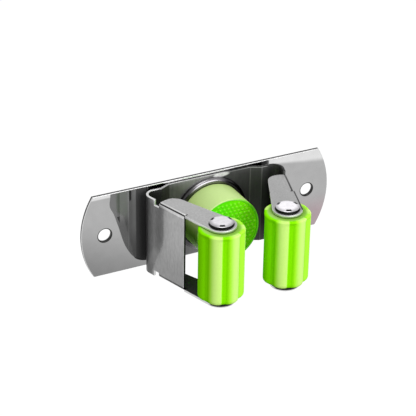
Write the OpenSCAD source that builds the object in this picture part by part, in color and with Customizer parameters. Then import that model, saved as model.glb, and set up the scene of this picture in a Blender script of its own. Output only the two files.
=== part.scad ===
// Wall mounted mop holder: a steel plate carries a spring clip with two fluted
// rubber rollers, and a sprung rubber bumper behind them. A broom or mop handle
// is pushed in between the rollers and held between the rollers and the bumper.
// +X runs along the plate, +Y into the wall and +Z up. The origin is the centre
// of the plate's back face, so everything lies on the -Y side of the wall.

/* [Wall plate] */
// Length of the plate over its round ends
plate_l = 134; // [112:1:200]
// Height of the plate
plate_h = 43; // [41:1:70]
// Thickness of the plate
plate_t = 1.8; // [1.4:0.1:4]
// Radius of the round ends of the plate
plate_end_r = 41; // [36:1:52]
// Distance between the centres of the two screw holes
hole_spacing = 110; // [90:1:118]
// Diameter of the screw holes
hole_d = 6.6; // [3:0.1:8]

/* [Spring clip] */
// Thickness of the spring steel sheet
sheet_t = 1.2; // [0.9:0.1:1.6]
// Distance from the centre to each bend of the web
bend_x = 21.9; // [21:0.1:25]
// Gap between the plate and the wings
wing_gap = 2.5; // [1.5:0.1:5]
// Length along the plate of the slope between the web and a wing
jog_run = 5.1; // [4:0.1:7]
// Outer radius of the rounded corners
corner_r = 5; // [3:0.1:7]
// Angle by which the side walls lean in towards each other
toe_in = 17.3; // [8:0.1:22]

/* [Ears] */
// Height over the outer faces of the two ears of an arm
ear_h = 40.4; // [34:0.1:50]
// Radius of the round end of an ear, about the roller pin
ear_r = 7.1; // [6.5:0.1:9]
// Angle by which an ear narrows towards its rear edge
ear_taper = 7.7; // [0:0.1:9]
// Distance from the roller pin back to the rear edge of an ear
ear_len = 34.4; // [28:0.1:36]
// Radius of the inner rear corner of an ear
ear_corner_r = 6; // [2:0.1:8]
// Outer radius of the fold between a side wall and its ears
fold_r = 1.9; // [1.7:0.1:3]
// Distance from the roller pin back to the front edge of the side wall
wall_setback = 17.2; // [14:0.1:22]
// Width of the relief notch behind each fold
notch_w = 3.1; // [1:0.1:3.5]
// Depth of the relief notch, from the outer face of the ear
notch_d = 2.6; // [1:0.1:5]
// How far the strip's edges stand past the ears, at the web, wings and corners
strip_rim = 0.3; // [0:0.1:1]

/* [Rollers] */
// Distance between the two roller pins
roller_spacing = 34.4; // [30:0.1:44]
// Distance of the roller pins in front of the plate
roller_reach = 46.2; // [44:0.1:52]
// Diameter of a roller over its ribs
roller_d = 22.2; // [18:0.1:24]
// Number of ribs round a roller
rib_count = 7; // [5:1:10]
// Radius of the round top of a rib
rib_r = 4.6; // [3:0.1:5.5]
// Depth of the grooves between the ribs
groove_depth = 1.1; // [0.3:0.1:2]
// Radius of the rounded edges at the roller's ends
roller_edge_r = 0.8; // [0.2:0.1:2]
// Outer diameter of the plastic core of a roller
core_d = 10; // [9:0.1:14]
// Angle from the front towards the left at which a groove of each roller rests
groove_turn = 17; // [0:1:51]

/* [Roller pins] */
// Diameter of the pins
pin_d = 6; // [4:0.1:7]
// Diameter of the domed head of a pin
head_d = 11.5; // [8:0.1:13]
// Height of the domed head
head_h = 2; // [1:0.1:3]
// Diameter of the formed tail of a pin
tail_d = 9.4; // [8:0.1:12]
// Height of the formed tail
tail_h = 1.3; // [0.8:0.1:3]
// Outer diameter of the thin washers at the roller's ends
washer_d = 11; // [9:0.1:13]
// Thickness of the thin washers
washer_t = 0.3; // [0.2:0.1:1]

/* [Bumper] */
// Diameter of the bumper
bumper_d = 33.2; // [28:0.1:34]
// Distance of the bumper's front face in front of the plate
bumper_reach = 20.8; // [19:0.1:24]
// How far the bumper can be pressed in
bumper_travel = 1.8; // [0.5:0.1:2.5]
// Thickness of the bumper's side wall
bumper_wall = 2.2; // [1.5:0.1:4]
// Thickness of the floor that slides on the stud
floor_t = 2; // [1.5:0.1:4]
// Thickness of the grip pad in the bumper's face
pad_t = 3; // [1.5:0.1:3.5]
// Width of the rim that the bumper leaves round the pad
pad_rim = 0.8; // [0.5:0.1:3]
// Diameter of the pocket behind the pad for the end of the stud
pocket_d = 14; // [13:0.1:20]
// Depth of the pocket behind the pad
pocket_depth = 3.8; // [3.7:0.1:5]
// Width of the steel ring round the bumper's foot
ring_w = 2.5; // [1.5:0.1:3]
// Height of the steel ring
ring_h = 2.4; // [2:0.1:5]
// Radius of the ring's rounded outer edge
ring_edge_r = 1.6; // [0.3:0.1:1.8]

/* [Stud and spring] */
// Diameter of the stud that holds the clip to the plate
stud_d = 6; // [4:0.1:6.5]
// Diameter of the stud's countersunk head in the back of the plate
stud_head_d = 10.4; // [8:0.1:12]
// Height of the countersunk head
stud_head_h = 1.2; // [0.8:0.1:1.3]
// Diameter of the stud's shoulder in front of the clip
shoulder_d = 8.8; // [8:0.1:10]
// Height of the shoulder
shoulder_h = 1; // [0.6:0.1:2]
// Outer diameter of the keeper washer on the stud
keeper_d = 11; // [9:0.1:12]
// Thickness of the keeper washer
keeper_t = 0.8; // [0.5:0.1:0.9]
// Diameter of the stud's riveted tip in front of the keeper washer
tip_d = 7.6; // [7.2:0.1:8.5]
// Height of the riveted tip
tip_h = 0.6; // [0.4:0.1:0.7]
// Outer diameter of the spring behind the bumper
spring_d = 13.6; // [13:0.1:18]
// Wire thickness of the spring
spring_wire = 1.2; // [0.8:0.1:1.6]

/* [Fits] */
// Radial clearance of a bore that runs on its pin
run_fit = 0.05; // [0.01:0.01:0.1]
// Radial clearance of the bumper in its ring
slide_gap = 0.3; // [0.2:0.05:0.6]
// Play left at each end of a roller
end_play = 0.1; // [0.05:0.05:0.5]
// Thickness of the glue line round a bonded piece
glue_gap = 0.02; // [0.01:0.01:0.1]
// Radius of the round edge on which an arm springs at the web's bend
knuckle_r = 0.5; // [0.4:0.05:0.55]
// Clearance between that round edge and the plate
knuckle_gap = 0.2; // [0.15:0.05:0.3]
// Clearance left between the pressed bumper's skirt and the clip
skirt_gap = 0.2; // [0.1:0.05:0.5]

/* [Hidden] */
$fn = 96;
eps = 0.01;
pin_x = roller_spacing / 2;
hole_x = hole_spacing / 2;
end_centre = plate_l / 2 - plate_end_r;

// The bend of the sheet: its axis lies a little in front of the plate, the
// web ends in a groove round it, and the slope starts inside the round edge
knuckle_f = knuckle_r + knuckle_gap;
web_end = bend_x - knuckle_r / 2;
slope_start = 0.7 * knuckle_r;
wing_mid = wing_gap + sheet_t / 2;
slope_angle = atan2(wing_mid - knuckle_f, jog_run);

// The corner between a wing and a side wall, in plan
corner_f = wing_gap + corner_r;
wall_at_corner = pin_x + ear_r / cos(toe_in) + (roller_reach - corner_f) * tan(toe_in);
corner_x = wall_at_corner - corner_r / cos(toe_in);
corner_steps = 16;

// The strip, the ears and what is held between the ears
strip_h = ear_h + 2 * strip_rim;
ear_inside = ear_h / 2 - sheet_t;
roller_h = 2 * (ear_inside - washer_t - end_play);
rib_x = roller_d / 2 - rib_r;
ear_corner_y = ear_len - ear_corner_r;
ear_corner_x = (ear_corner_r - ear_r) / cos(ear_taper) + ear_corner_y * tan(ear_taper);

// Stations of the bumper, as distances in front of the plate
pad_back = bumper_reach - pad_t;
floor_front = pad_back - pocket_depth;
floor_back = floor_front - floor_t;
skirt_end = sheet_t + bumper_travel + skirt_gap;
ring_inner_r = bumper_d / 2 + slide_gap;
keeper_back = floor_front + run_fit;
tip_front = keeper_back + keeper_t + tip_h;

steel = "silver";
spring_steel = "darkgray";
green = "yellowgreen";
dark_green = "limegreen";

// Places a child that is drawn in plan, with y as the distance in front of the plate
module plan() {
    translate([0, -plate_t, 0]) mirror([0, 1, 0]) children();
}

// Places a child on the bumper's axis, with z as the distance in front of the plate
module bumper_axis() {
    translate([0, -plate_t, 0]) rotate([90, 0, 0]) children();
}

// Places a child on the left or right side of the centre
module on_side(side) {
    mirror([side == "left" ? 1 : 0, 0, 0]) children();
}

// Places a child on a roller pin
module at_pin(side) {
    on_side(side) translate([pin_x, -plate_t - roller_reach, 0]) children();
}

// The frame of a side wall: x points out of the wall and y runs back from the pin
module at_wall() {
    translate([pin_x, -plate_t - roller_reach, 0]) rotate([0, 0, -toe_in]) children();
}

// A flat ring on the z axis
module ring(outer_d, inner_d, h) {
    difference() {
        cylinder(d = outer_d, h = h);
        translate([0, 0, -1]) cylinder(d = inner_d, h = h + 2);
    }
}

module wall_plate() {
    color(steel) difference() {
        rotate([90, 0, 0]) linear_extrude(plate_t) difference() {
            intersection() {
                square([plate_l, plate_h], center = true);
                union() {
                    square([2 * end_centre, plate_h], center = true);
                    for (s = [-1, 1]) translate([s * end_centre, 0]) circle(r = plate_end_r, $fn = 180);
                }
            }
            for (s = [-1, 1]) translate([s * hole_x, 0]) circle(d = hole_d);
        }
        bumper_axis() stud_cut();
    }
}

// The countersunk hole that the stud leaves in the plate and the web
module stud_cut() {
    translate([0, 0, -plate_t - 1]) cylinder(d = stud_d + 2 * run_fit, h = plate_t + sheet_t + 2);
    translate([0, 0, -plate_t - eps])
        cylinder(d1 = stud_head_d + 2 * run_fit, d2 = stud_d + 2 * run_fit, h = stud_head_h + eps);
}

module clip_web() {
    color(spring_steel) difference() {
        plan() translate([0, 0, -strip_h / 2]) linear_extrude(strip_h) difference() {
            translate([-web_end, 0]) square([2 * web_end, sheet_t]);
            for (s = [-1, 1]) translate([s * bend_x, knuckle_f]) circle(r = knuckle_r + run_fit);
        }
        bumper_axis() stud_cut();
    }
}

// One bent half of the clip: the wing, the corner, the side wall and its two ears
module clip_arm(side) {
    color(spring_steel) on_side(side) difference() {
        union() {
            plan() translate([bend_x, knuckle_f, -strip_h / 2]) cylinder(r = knuckle_r, h = strip_h);
            at_wall() {
                translate([0, 0, -strip_h / 2]) linear_extrude(strip_h) strip_outline();
                side_wall();
                for (s = [-1, 1]) at_end(s) ear();
            }
        }
        at_wall() cylinder(d = pin_d + 2 * run_fit, h = 2 * ear_h, center = true);
    }
}

// Places a child at the upper end, or mirrored at the lower end
module at_end(s) {
    mirror([0, 0, s < 0 ? 1 : 0]) children();
}

// Plan of the strip in the frame of the wall: the slope, the wing, the corner and the wall's rear
module strip_outline() {
    front = strip_edge(1);
    polygon(concat(strip_edge(-1), [for (i = [len(front) - 1 : -1 : 0]) front[i]]));
}

// One edge of that plan: the front and inner one for side 1, the back and outer one for side -1
function strip_edge(side) = let (half = side * sheet_t / 2, r = corner_r - sheet_t / 2 - half) concat(
    [in_wall([bend_x, knuckle_f] + turned([slope_start, half], slope_angle))],
    [in_wall([bend_x + jog_run, wing_mid] + turned([0, half / cos(slope_angle / 2)], slope_angle / 2))],
    [for (i = [0 : corner_steps]) in_wall([corner_x, corner_f]
        + turned([r, 0], -90 + (90 + toe_in) * i / corner_steps))],
    [[ear_r - sheet_t / 2 - half, ear_len + notch_w]]);

// A point turned about the origin
function turned(p, angle) = [p.x * cos(angle) - p.y * sin(angle), p.x * sin(angle) + p.y * cos(angle)];

// A point of the plan, given in the frame of the side wall
function in_wall(p) = let (d = p - [pin_x, roller_reach])
    [d.x * cos(toe_in) + d.y * sin(toe_in), d.x * sin(toe_in) - d.y * cos(toe_in)];

// The side wall between and in front of its relief notches
module side_wall() {
    wall_piece(ear_len, ear_len + notch_w, ear_h - 2 * notch_d);
    wall_piece(wall_setback, ear_len, ear_h - 2 * fold_r);
}

// A stretch of the side wall from one distance behind the pin to another
module wall_piece(from, to, h) {
    translate([ear_r - sheet_t, from, -h / 2]) cube([sheet_t, to - from, h]);
}

// The upper ear and the round fold that joins it to the side wall
module ear() {
    translate([0, 0, ear_inside]) linear_extrude(sheet_t) difference() {
        ear_outline();
        translate([ear_r - fold_r, wall_setback]) square([2 * fold_r, ear_len]);
    }
    translate([ear_r - fold_r, ear_len, ear_h / 2 - fold_r]) rotate([90, 0, 0])
        linear_extrude(ear_len - wall_setback) intersection() {
            difference() {
                circle(r = fold_r);
                circle(r = fold_r - sheet_t);
            }
            square(2 * fold_r);
        }
}

// An ear as cut: round at the pin, tapered, and rounded at its inner rear corner
module ear_outline() {
    circle(r = ear_r);
    translate([ear_corner_x, ear_corner_y]) intersection() {
        circle(r = ear_corner_r);
        translate([-2 * ear_corner_r, 0]) square(2 * ear_corner_r);
    }
    polygon([[ear_r, 0], [ear_r, ear_len], [ear_corner_x, ear_len], [ear_corner_x, ear_corner_y],
        [ear_corner_x - ear_corner_r * cos(ear_taper), ear_corner_y + ear_corner_r * sin(ear_taper)],
        [-ear_r * cos(ear_taper), ear_r * sin(ear_taper)]]);
}

// The steel ring that guides the bumper's foot, with a rounded outer edge
module bumper_ring() {
    outer_r = ring_inner_r + ring_w;
    color(steel) bumper_axis() translate([0, 0, sheet_t]) rotate_extrude() {
        translate([ring_inner_r, 0]) square([ring_w - ring_edge_r, ring_h]);
        translate([ring_inner_r, 0]) square([ring_w, ring_h - ring_edge_r]);
        translate([outer_r - ring_edge_r, ring_h - ring_edge_r]) intersection() {
            circle(r = ring_edge_r);
            square(ring_edge_r + 1);
        }
    }
}

// The hollow rubber bumper: a sleeve with a floor that slides on the stud
module bumper_plunger() {
    r = bumper_d / 2;
    edge = pad_rim / 2;
    color(green) bumper_axis() rotate_extrude() {
        translate([r - bumper_wall, skirt_end]) square([bumper_wall, pad_back - skirt_end]);
        translate([pocket_d / 2, floor_front]) square([r - pocket_d / 2, pocket_depth]);
        translate([stud_d / 2 + run_fit, floor_back]) square([r - stud_d / 2 - run_fit, floor_t]);
        translate([r - pad_rim, pad_back]) square([pad_rim, pad_t - edge]);
        translate([r - edge, bumper_reach - edge]) circle(r = edge);
    }
}

// The grip pad, set into the bumper's face
module bumper_pad() {
    pad_r = bumper_d / 2 - pad_rim - glue_gap;
    edge = pad_t / 5;
    color(dark_green) bumper_axis() translate([0, 0, pad_back]) rotate_extrude() {
        square([pad_r, pad_t - edge]);
        square([pad_r - edge, pad_t]);
        translate([pad_r - edge, pad_t - edge]) circle(r = edge);
    }
}

// The compression spring behind the bumper's floor, as the space of its coils
module bumper_spring() {
    color(spring_steel) bumper_axis() translate([0, 0, sheet_t])
        ring(spring_d, spring_d - 2 * spring_wire, floor_back - sheet_t);
}

// The stud that rivets the clip to the plate and guides the bumper
module guide_stud() {
    color(steel) bumper_axis() {
        translate([0, 0, -plate_t]) cylinder(d1 = stud_head_d, d2 = stud_d, h = stud_head_h);
        translate([0, 0, -plate_t]) cylinder(d = stud_d, h = plate_t + tip_front);
        translate([0, 0, sheet_t]) cylinder(d = shoulder_d, h = shoulder_h);
        translate([0, 0, tip_front - tip_h]) cylinder(d = tip_d, h = tip_h);
    }
}

// The washer on the stud that stops the bumper from coming off
module keeper_washer() {
    color(steel) bumper_axis() translate([0, 0, keeper_back])
        ring(keeper_d, stud_d + 2 * run_fit, keeper_t);
}

// The rubber tread of a roller, with round ribs along its length
module roller_tread(side) {
    outline_r = roller_d / 2 - groove_depth;
    turn = (side == "left" ? groove_turn : -groove_turn) - 90;
    color(green) at_pin(side) difference() {
        intersection() {
            translate([0, 0, -roller_h / 2]) linear_extrude(roller_h) {
                circle(r = outline_r);
                for (i = [0 : rib_count - 1]) rotate(360 * (i + 0.5) / rib_count + turn)
                    translate([rib_x, 0]) circle(r = rib_r);
            }
            rounded_drum();
        }
        cylinder(d = core_d + 2 * glue_gap, h = roller_h + 2, center = true);
    }
}

// A drum of the roller's size with round edges at both ends
module rounded_drum() {
    r = roller_d / 2;
    rotate_extrude() {
        translate([0, -roller_h / 2]) square([r - roller_edge_r, roller_h]);
        translate([0, roller_edge_r - roller_h / 2]) square([r, roller_h - 2 * roller_edge_r]);
        for (s = [-1, 1]) translate([r - roller_edge_r, s * (roller_h / 2 - roller_edge_r)])
            circle(r = roller_edge_r);
    }
}

// The plastic core that the tread is bonded to, which runs on the pin
module roller_core(side) {
    color("whitesmoke") at_pin(side) translate([0, 0, -roller_h / 2])
        ring(core_d, pin_d + 2 * run_fit, roller_h);
}

// The rivet that a roller turns on: domed head, shank and formed tail
module roller_pin(side) {
    dome_r = (head_d * head_d / 4 + head_h * head_h) / (2 * head_h);
    color(steel) at_pin(side) {
        translate([0, 0, -ear_h / 2 - tail_h]) cylinder(d = tail_d, h = tail_h);
        translate([0, 0, -ear_h / 2 - tail_h]) cylinder(d = pin_d, h = ear_h + tail_h + head_h / 2);
        intersection() {
            translate([0, 0, ear_h / 2 + head_h - dome_r]) sphere(r = dome_r);
            translate([0, 0, ear_h / 2]) cylinder(d = head_d + 1, h = head_h + 1);
        }
    }
}

// A thin washer between a roller's end and an ear
module roller_washer(side, s) {
    color("white") at_pin(side) at_end(s) translate([0, 0, ear_inside - washer_t])
        ring(washer_d, pin_d + 2 * run_fit, washer_t);
}

wall_plate();
clip_web();
clip_arm("left");  // left_clip_arm
clip_arm("right");  // right_clip_arm
bumper_ring();
bumper_plunger();
bumper_pad();
bumper_spring();
guide_stud();
keeper_washer();
roller_tread("left");  // left_roller_tread
roller_core("left");  // left_roller_core
roller_pin("left");  // left_roller_pin
roller_washer("left", 1);  // left_upper_washer
roller_washer("left", -1);  // left_lower_washer
roller_tread("right");  // right_roller_tread
roller_core("right");  // right_roller_core
roller_pin("right");  // right_roller_pin
roller_washer("right", 1);  // right_upper_washer
roller_washer("right", -1);  // right_lower_washer
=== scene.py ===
import math

import bmesh
import bpy
from mathutils import Matrix, Vector


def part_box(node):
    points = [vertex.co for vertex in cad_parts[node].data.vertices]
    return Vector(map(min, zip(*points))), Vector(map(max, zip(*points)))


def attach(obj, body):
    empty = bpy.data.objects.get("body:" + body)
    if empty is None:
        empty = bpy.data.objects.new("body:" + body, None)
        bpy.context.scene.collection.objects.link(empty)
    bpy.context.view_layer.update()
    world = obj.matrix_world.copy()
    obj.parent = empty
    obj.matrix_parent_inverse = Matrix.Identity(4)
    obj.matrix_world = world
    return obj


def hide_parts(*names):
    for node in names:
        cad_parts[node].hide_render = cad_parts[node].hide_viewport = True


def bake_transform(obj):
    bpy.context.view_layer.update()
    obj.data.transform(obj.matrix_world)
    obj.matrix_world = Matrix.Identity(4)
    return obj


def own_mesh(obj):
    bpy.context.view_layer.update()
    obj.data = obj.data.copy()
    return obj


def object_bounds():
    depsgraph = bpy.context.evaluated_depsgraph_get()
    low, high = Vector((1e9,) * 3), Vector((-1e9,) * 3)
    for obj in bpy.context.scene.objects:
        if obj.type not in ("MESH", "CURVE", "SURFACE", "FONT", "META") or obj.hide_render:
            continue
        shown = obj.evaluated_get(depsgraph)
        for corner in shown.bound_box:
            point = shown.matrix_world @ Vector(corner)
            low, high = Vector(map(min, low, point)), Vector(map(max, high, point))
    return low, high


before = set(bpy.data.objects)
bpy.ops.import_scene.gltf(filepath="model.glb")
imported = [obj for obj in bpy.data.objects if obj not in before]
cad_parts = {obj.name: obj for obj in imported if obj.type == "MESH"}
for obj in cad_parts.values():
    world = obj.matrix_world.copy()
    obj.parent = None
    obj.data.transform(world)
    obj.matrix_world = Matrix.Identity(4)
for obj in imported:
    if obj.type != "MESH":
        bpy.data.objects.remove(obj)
cad_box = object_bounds()


# The view: the holder is looked at from its left front and from above, through
# a long lens, with the camera turned a little about its own axis.
def put_object(name, data):
    """Adds an object that holds a camera, a lamp, a curve or a mesh."""
    made = bpy.data.objects.new(name, data)
    bpy.context.scene.collection.objects.link(made)
    return made


plate_low, plate_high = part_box("wall_plate")
plate_front = plate_low.y
view_turn = math.radians(27.43)
view_rise = math.radians(28.23)
view_roll = math.radians(0.94)
view_distance = 0.7845
view_aim = Vector((-0.0003, plate_front, 0.00217))
lens_mm = 139.67
sensor_mm = 36.0

look = Vector((math.sin(view_turn) * math.cos(view_rise), math.cos(view_turn) * math.cos(view_rise),
               -math.sin(view_rise)))
level = Vector((math.cos(view_turn), -math.sin(view_turn), 0))
upright = level.cross(look)
right = math.cos(view_roll) * level + math.sin(view_roll) * upright
up = -math.sin(view_roll) * level + math.cos(view_roll) * upright
camera_data = bpy.data.cameras.new("camera")
camera_data.lens = lens_mm
camera_data.sensor_width = sensor_mm
camera = put_object("camera", camera_data)
camera.matrix_world = Matrix.Translation(view_aim - view_distance * look) @ Matrix(
    (right, up, -look)).transposed().to_4x4()
bpy.context.scene.camera = camera
bpy.context.scene.view_settings.view_transform = "Standard"


# The studio: a large soft lamp in front of the holder and to its right, and a
# weaker one above, in an even white surround. The white floor lies well below,
# because the holder hangs on a wall.
def put_node(tree, kind, inputs=None, **settings):
    """Adds a node, with values or links on the named or numbered inputs."""
    made = tree.nodes.new(kind)
    for key, value in settings.items():
        setattr(made, key, value)
    for key, value in (inputs or {}).items():
        if isinstance(value, bpy.types.NodeSocket):
            tree.links.new(value, made.inputs[key])
        else:
            made.inputs[key].default_value = value
    return made


def calc(tree, operation, *values):
    """A step of arithmetic on sockets or numbers."""
    return put_node(tree, "ShaderNodeMath", dict(enumerate(values)), operation=operation).outputs[0]


def soft_lamp(name, place, size, watts):
    """A square lamp that faces the holder."""
    data = bpy.data.lights.new(name, "AREA")
    data.size = size
    data.energy = watts
    lamp = put_object(name, data)
    lamp.location = place
    lamp.rotation_euler = (-Vector(place)).to_track_quat("-Z", "Y").to_euler()


def seen_directly(tree):
    """1 for what the camera sees, also in a mirror or through glass, and 0 for other light."""
    path = put_node(tree, "ShaderNodeLightPath").outputs
    mirrored = calc(tree, "MAXIMUM", path["Is Camera Ray"], path["Is Glossy Ray"])
    return calc(tree, "MAXIMUM", mirrored, path["Is Transmission Ray"])


def mix_shaders(tree, factor, first, second):
    """The first shader where the factor is 0 and the second where it is 1."""
    return put_node(tree, "ShaderNodeMixShader", {0: factor, 1: first.outputs[0], 2: second.outputs[0]})


def mesh_of(bm, name):
    """Ends the editing of a mesh and keeps it under a name."""
    mesh = bpy.data.meshes.new(name)
    bm.to_mesh(mesh)
    bm.free()
    return mesh


soft_lamp("front_lamp", place=(0.22, -0.90, 0.42), size=0.70, watts=7.0)
soft_lamp("top_lamp", place=(-0.05, -0.15, 0.95), size=0.50, watts=2.6)

white = (1, 1, 1, 1)
fill_level = 0.52
world = bpy.data.worlds.new("surround")
bpy.context.scene.world = world
world.use_nodes = True
tree = world.node_tree
tree.nodes.clear()
fill = put_node(tree, "ShaderNodeBackground", {"Color": white, "Strength": fill_level})
backdrop = put_node(tree, "ShaderNodeBackground", {"Color": white, "Strength": 1.0})
mixed = mix_shaders(tree, seen_directly(tree), fill, backdrop)
put_node(tree, "ShaderNodeOutputWorld", {"Surface": mixed.outputs[0]})

floor_drop = 0.30
floor_half = 3.0
floor_level = cad_box[0][2] - floor_drop
floor_grey = (0.45, 0.45, 0.45, 1)
floor_glow = 1.27
glow_share = 0.75
bm = bmesh.new()
bmesh.ops.create_grid(bm, x_segments=1, y_segments=1, size=floor_half,
                      matrix=Matrix.Translation((0, 0, floor_level)))
floor = put_object("floor", mesh_of(bm, "floor"))
paper = bpy.data.materials.new("paper")
paper.use_nodes = True
tree = paper.node_tree
tree.nodes.clear()
matte = put_node(tree, "ShaderNodeBsdfDiffuse", {"Color": floor_grey})
glow = put_node(tree, "ShaderNodeEmission", {"Color": white, "Strength": floor_glow})
lit = mix_shaders(tree, glow_share, matte, glow)
mixed = mix_shaders(tree, seen_directly(tree), matte, lit)
put_node(tree, "ShaderNodeOutputMaterial", {"Surface": mixed.outputs[0]})
floor.data.materials.append(paper)


# The wall plate: stainless strip, blanked with round ends and two screw holes,
# then polished to a mirror. A hole in its middle takes the stud's head.
def times(tree, product, *others):
    """The product of sockets or numbers."""
    for value in others:
        product = calc(tree, "MULTIPLY", product, value)
    return product


def minus(tree, first, second):
    """The first socket or number less the second."""
    return calc(tree, "SUBTRACT", first, second)


def fade(tree, value, low, high, start=0.0, end=1.0, kind="SMOOTHSTEP"):
    """Goes from start to end while the value goes from low to high, with a soft start and end."""
    return put_node(tree, "ShaderNodeMapRange", {
        "Value": value, "From Min": low, "From Max": high, "To Min": start, "To Max": end},
        interpolation_type=kind).outputs[0]


def fade_out(tree, value, low, high):
    """1 below low and 0 above high."""
    return fade(tree, value, low, high, 1.0, 0.0)


def between(tree, factor, first, second):
    """The first number where the factor is 0 and the second where it is 1."""
    return calc(tree, "ADD", times(tree, minus(tree, second, first), factor), first)


def window(tree, value, low, high, soft):
    """1 between two values and 0 outside, with soft limits."""
    return times(tree, fade(tree, value, low - soft, low + soft),
                 fade_out(tree, value, high - soft, high + soft))


def squares(tree, first, second):
    """The sum of two squares."""
    return calc(tree, "ADD", times(tree, first, first), times(tree, second, second))


def diagonal(tree, first, second):
    """How far a place lies from a point, from its distances along two axes."""
    return calc(tree, "SQRT", squares(tree, first, second))


def vector(tree, x, y, z):
    """Three sockets or numbers as one place or colour."""
    return put_node(tree, "ShaderNodeCombineXYZ", {0: x, 1: y, 2: z}).outputs[0]


def spread_over(tree, cloud, low, high, dark=0.0, pale=1.0):
    """Goes evenly from low to high as a cloud goes from dark to pale."""
    return fade(tree, cloud, dark, pale, low, high, "LINEAR")


def noise(tree, place, scale, detail):
    """Clouds, from 0 to 1."""
    return put_node(tree, "ShaderNodeTexNoise", {
        "Vector": place, "Scale": scale, "Detail": detail}).outputs["Fac"]


def new_finish(name):
    """A new material, with its nodes and its shader."""
    made = bpy.data.materials.new(name)
    made.use_nodes = True
    return made, made.node_tree, made.node_tree.nodes["Principled BSDF"]


def coat(tree, shader, colour, level, clouds, rough, depth):
    """Gives a shader its colour at a level, its roughness between two limits, and fine bumps from clouds."""
    scaled = put_node(tree, "ShaderNodeVectorMath", {0: colour, "Scale": level}, operation="SCALE")
    tree.links.new(scaled.outputs["Vector"], shader.inputs["Base Color"])
    tree.links.new(spread_over(tree, clouds, *rough), shader.inputs["Roughness"])
    if depth:
        bump = put_node(tree, "ShaderNodeBump", {"Height": clouds, "Distance": depth})
        tree.links.new(bump.outputs[0], shader.inputs["Normal"])


def steel(name, tone, roughness, grain=(220.0, 220.0, 220.0), spread=0.05, depth=0.0, tint=(1, 1, 1),
          dull=None, stored=""):
    """Steel in a grey tone, with a grain of streaks or clouds. Tone and tint may be painted by functions of
    the place, and a third function may tell where the shine is dulled, so that a painted reflection or
    painted shade shows in place of the mirror. The place may be a stored one."""
    made, tree, shader = new_finish(name)
    shader.inputs["Metallic"].default_value = 1.0
    if stored:
        place = put_node(tree, "ShaderNodeAttribute", attribute_name=stored).outputs["Vector"]
    else:
        place = put_node(tree, "ShaderNodeTexCoord").outputs["Object"]
    parts = put_node(tree, "ShaderNodeSeparateXYZ", {0: place}).outputs
    stretched = put_node(tree, "ShaderNodeMapping", {"Vector": place, "Scale": grain})
    clouds = noise(tree, stretched.outputs[0], 1.0, 5.0)
    if callable(tone):
        tone = tone(tree, *parts)
    if callable(tint):
        tint = tint(tree, *parts)
    if dull:
        tree.links.new(minus(tree, 1.0, dull(tree, *parts)), shader.inputs["Metallic"])
    varied = times(tree, spread_over(tree, clouds, 1 - spread, 1 + spread, 0.3, 0.7), tone)
    coat(tree, shader, tint, varied, clouds, (roughness * 0.8, roughness * 1.2), depth)
    return made


smooth_angle = math.radians(26)
weld = 1e-6


def shade(mesh, angle=smooth_angle):
    """Smooth shading with sharp edges past an angle."""
    mesh.shade_smooth()
    mesh.set_sharp_from_angle(angle=angle)


def put_piece(name, mesh, body, slot, *nodes):
    """Makes a finished piece of a mesh, which rides on a body and stands for CAD nodes."""
    piece = put_object(name, mesh)
    if body:
        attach(piece, body)
    if nodes:
        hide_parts(*nodes)
    return piece


def plain_mesh(holder):
    """The mesh that an object's curve or modifiers make. The object itself is removed."""
    bpy.context.view_layer.update()
    mesh = bpy.data.meshes.new_from_object(holder.evaluated_get(bpy.context.evaluated_depsgraph_get()))
    bpy.data.objects.remove(holder)
    return mesh


plate_edge = 0.0004
end_radius = 0.041
end_steps = 40
hole_radius = 0.0033
hole_x = 0.055
stud_head_radius = 0.0052
stud_play = 0.00005
to_front = Matrix.Rotation(math.radians(90), 4, "X")


def arc(centre, radius, start, end, steps):
    """Points along an arc, with angles in radians."""
    turns = [start + (end - start) * i / steps for i in range(steps + 1)]
    return [Vector((centre[0] + radius * math.cos(a), centre[1] + radius * math.sin(a))) for a in turns]


def plate_rim():
    """The plate's outline, from its lower right corner round to the start."""
    sweep = math.asin(plate_high.z / end_radius)
    right_end = arc((plate_high.x - end_radius, 0), end_radius, -sweep, sweep, end_steps)
    return right_end + [-point for point in right_end]


def circle_points(x, radius, steps=64):
    """Points round a hole on the plate's middle line."""
    return arc((x, 0), radius, 0, 2 * math.pi, steps)[:-1]


def flat_piece(name, outlines, low_y, high_y, edge):
    """A plate in the X-Z plane between two levels of Y, with holes and rounded edges, as a mesh."""
    curve = bpy.data.curves.new(name, "CURVE")
    curve.dimensions = "2D"
    curve.fill_mode = "BOTH"
    for points in outlines:
        spline = curve.splines.new("POLY")
        spline.points.add(len(points) - 1)
        for spot, (x, z) in zip(spline.points, points):
            spot.co = (x, z, 0, 1)
        spline.use_cyclic_u = True
    curve.offset = -edge
    curve.bevel_depth = edge
    curve.bevel_resolution = 3
    curve.extrude = (high_y - low_y) / 2 - edge
    mesh = plain_mesh(put_object(name, curve))
    mesh.transform(Matrix.Translation((0, (low_y + high_y) / 2, 0)) @ to_front)
    bm = bmesh.new()
    bm.from_mesh(mesh)
    bmesh.ops.remove_doubles(bm, verts=bm.verts, dist=weld)
    return mesh_of(bm, name)


def curve_of(tree, value, points, low, high):
    """A number that follows another one along a smooth line through points, all between two limits. The two
    ends of the line are the first two points."""
    share = calc(tree, "DIVIDE", minus(tree, value, low), high - low)
    line = put_node(tree, "ShaderNodeFloatCurve", {"Value": share})
    spots = line.mapping.curves[0].points
    for i, (first, second) in enumerate(points):
        place = ((first - low) / (high - low), (second - low) / (high - low))
        if i < 2:
            spots[i * (len(spots) - 1)].location = place
        else:
            spots.new(*place)
    line.mapping.update()
    return calc(tree, "ADD", times(tree, line.outputs[0], high - low), low)


# A painted reflection of the clip's left wing on the plate, where the mirror's shine is dulled.
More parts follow.
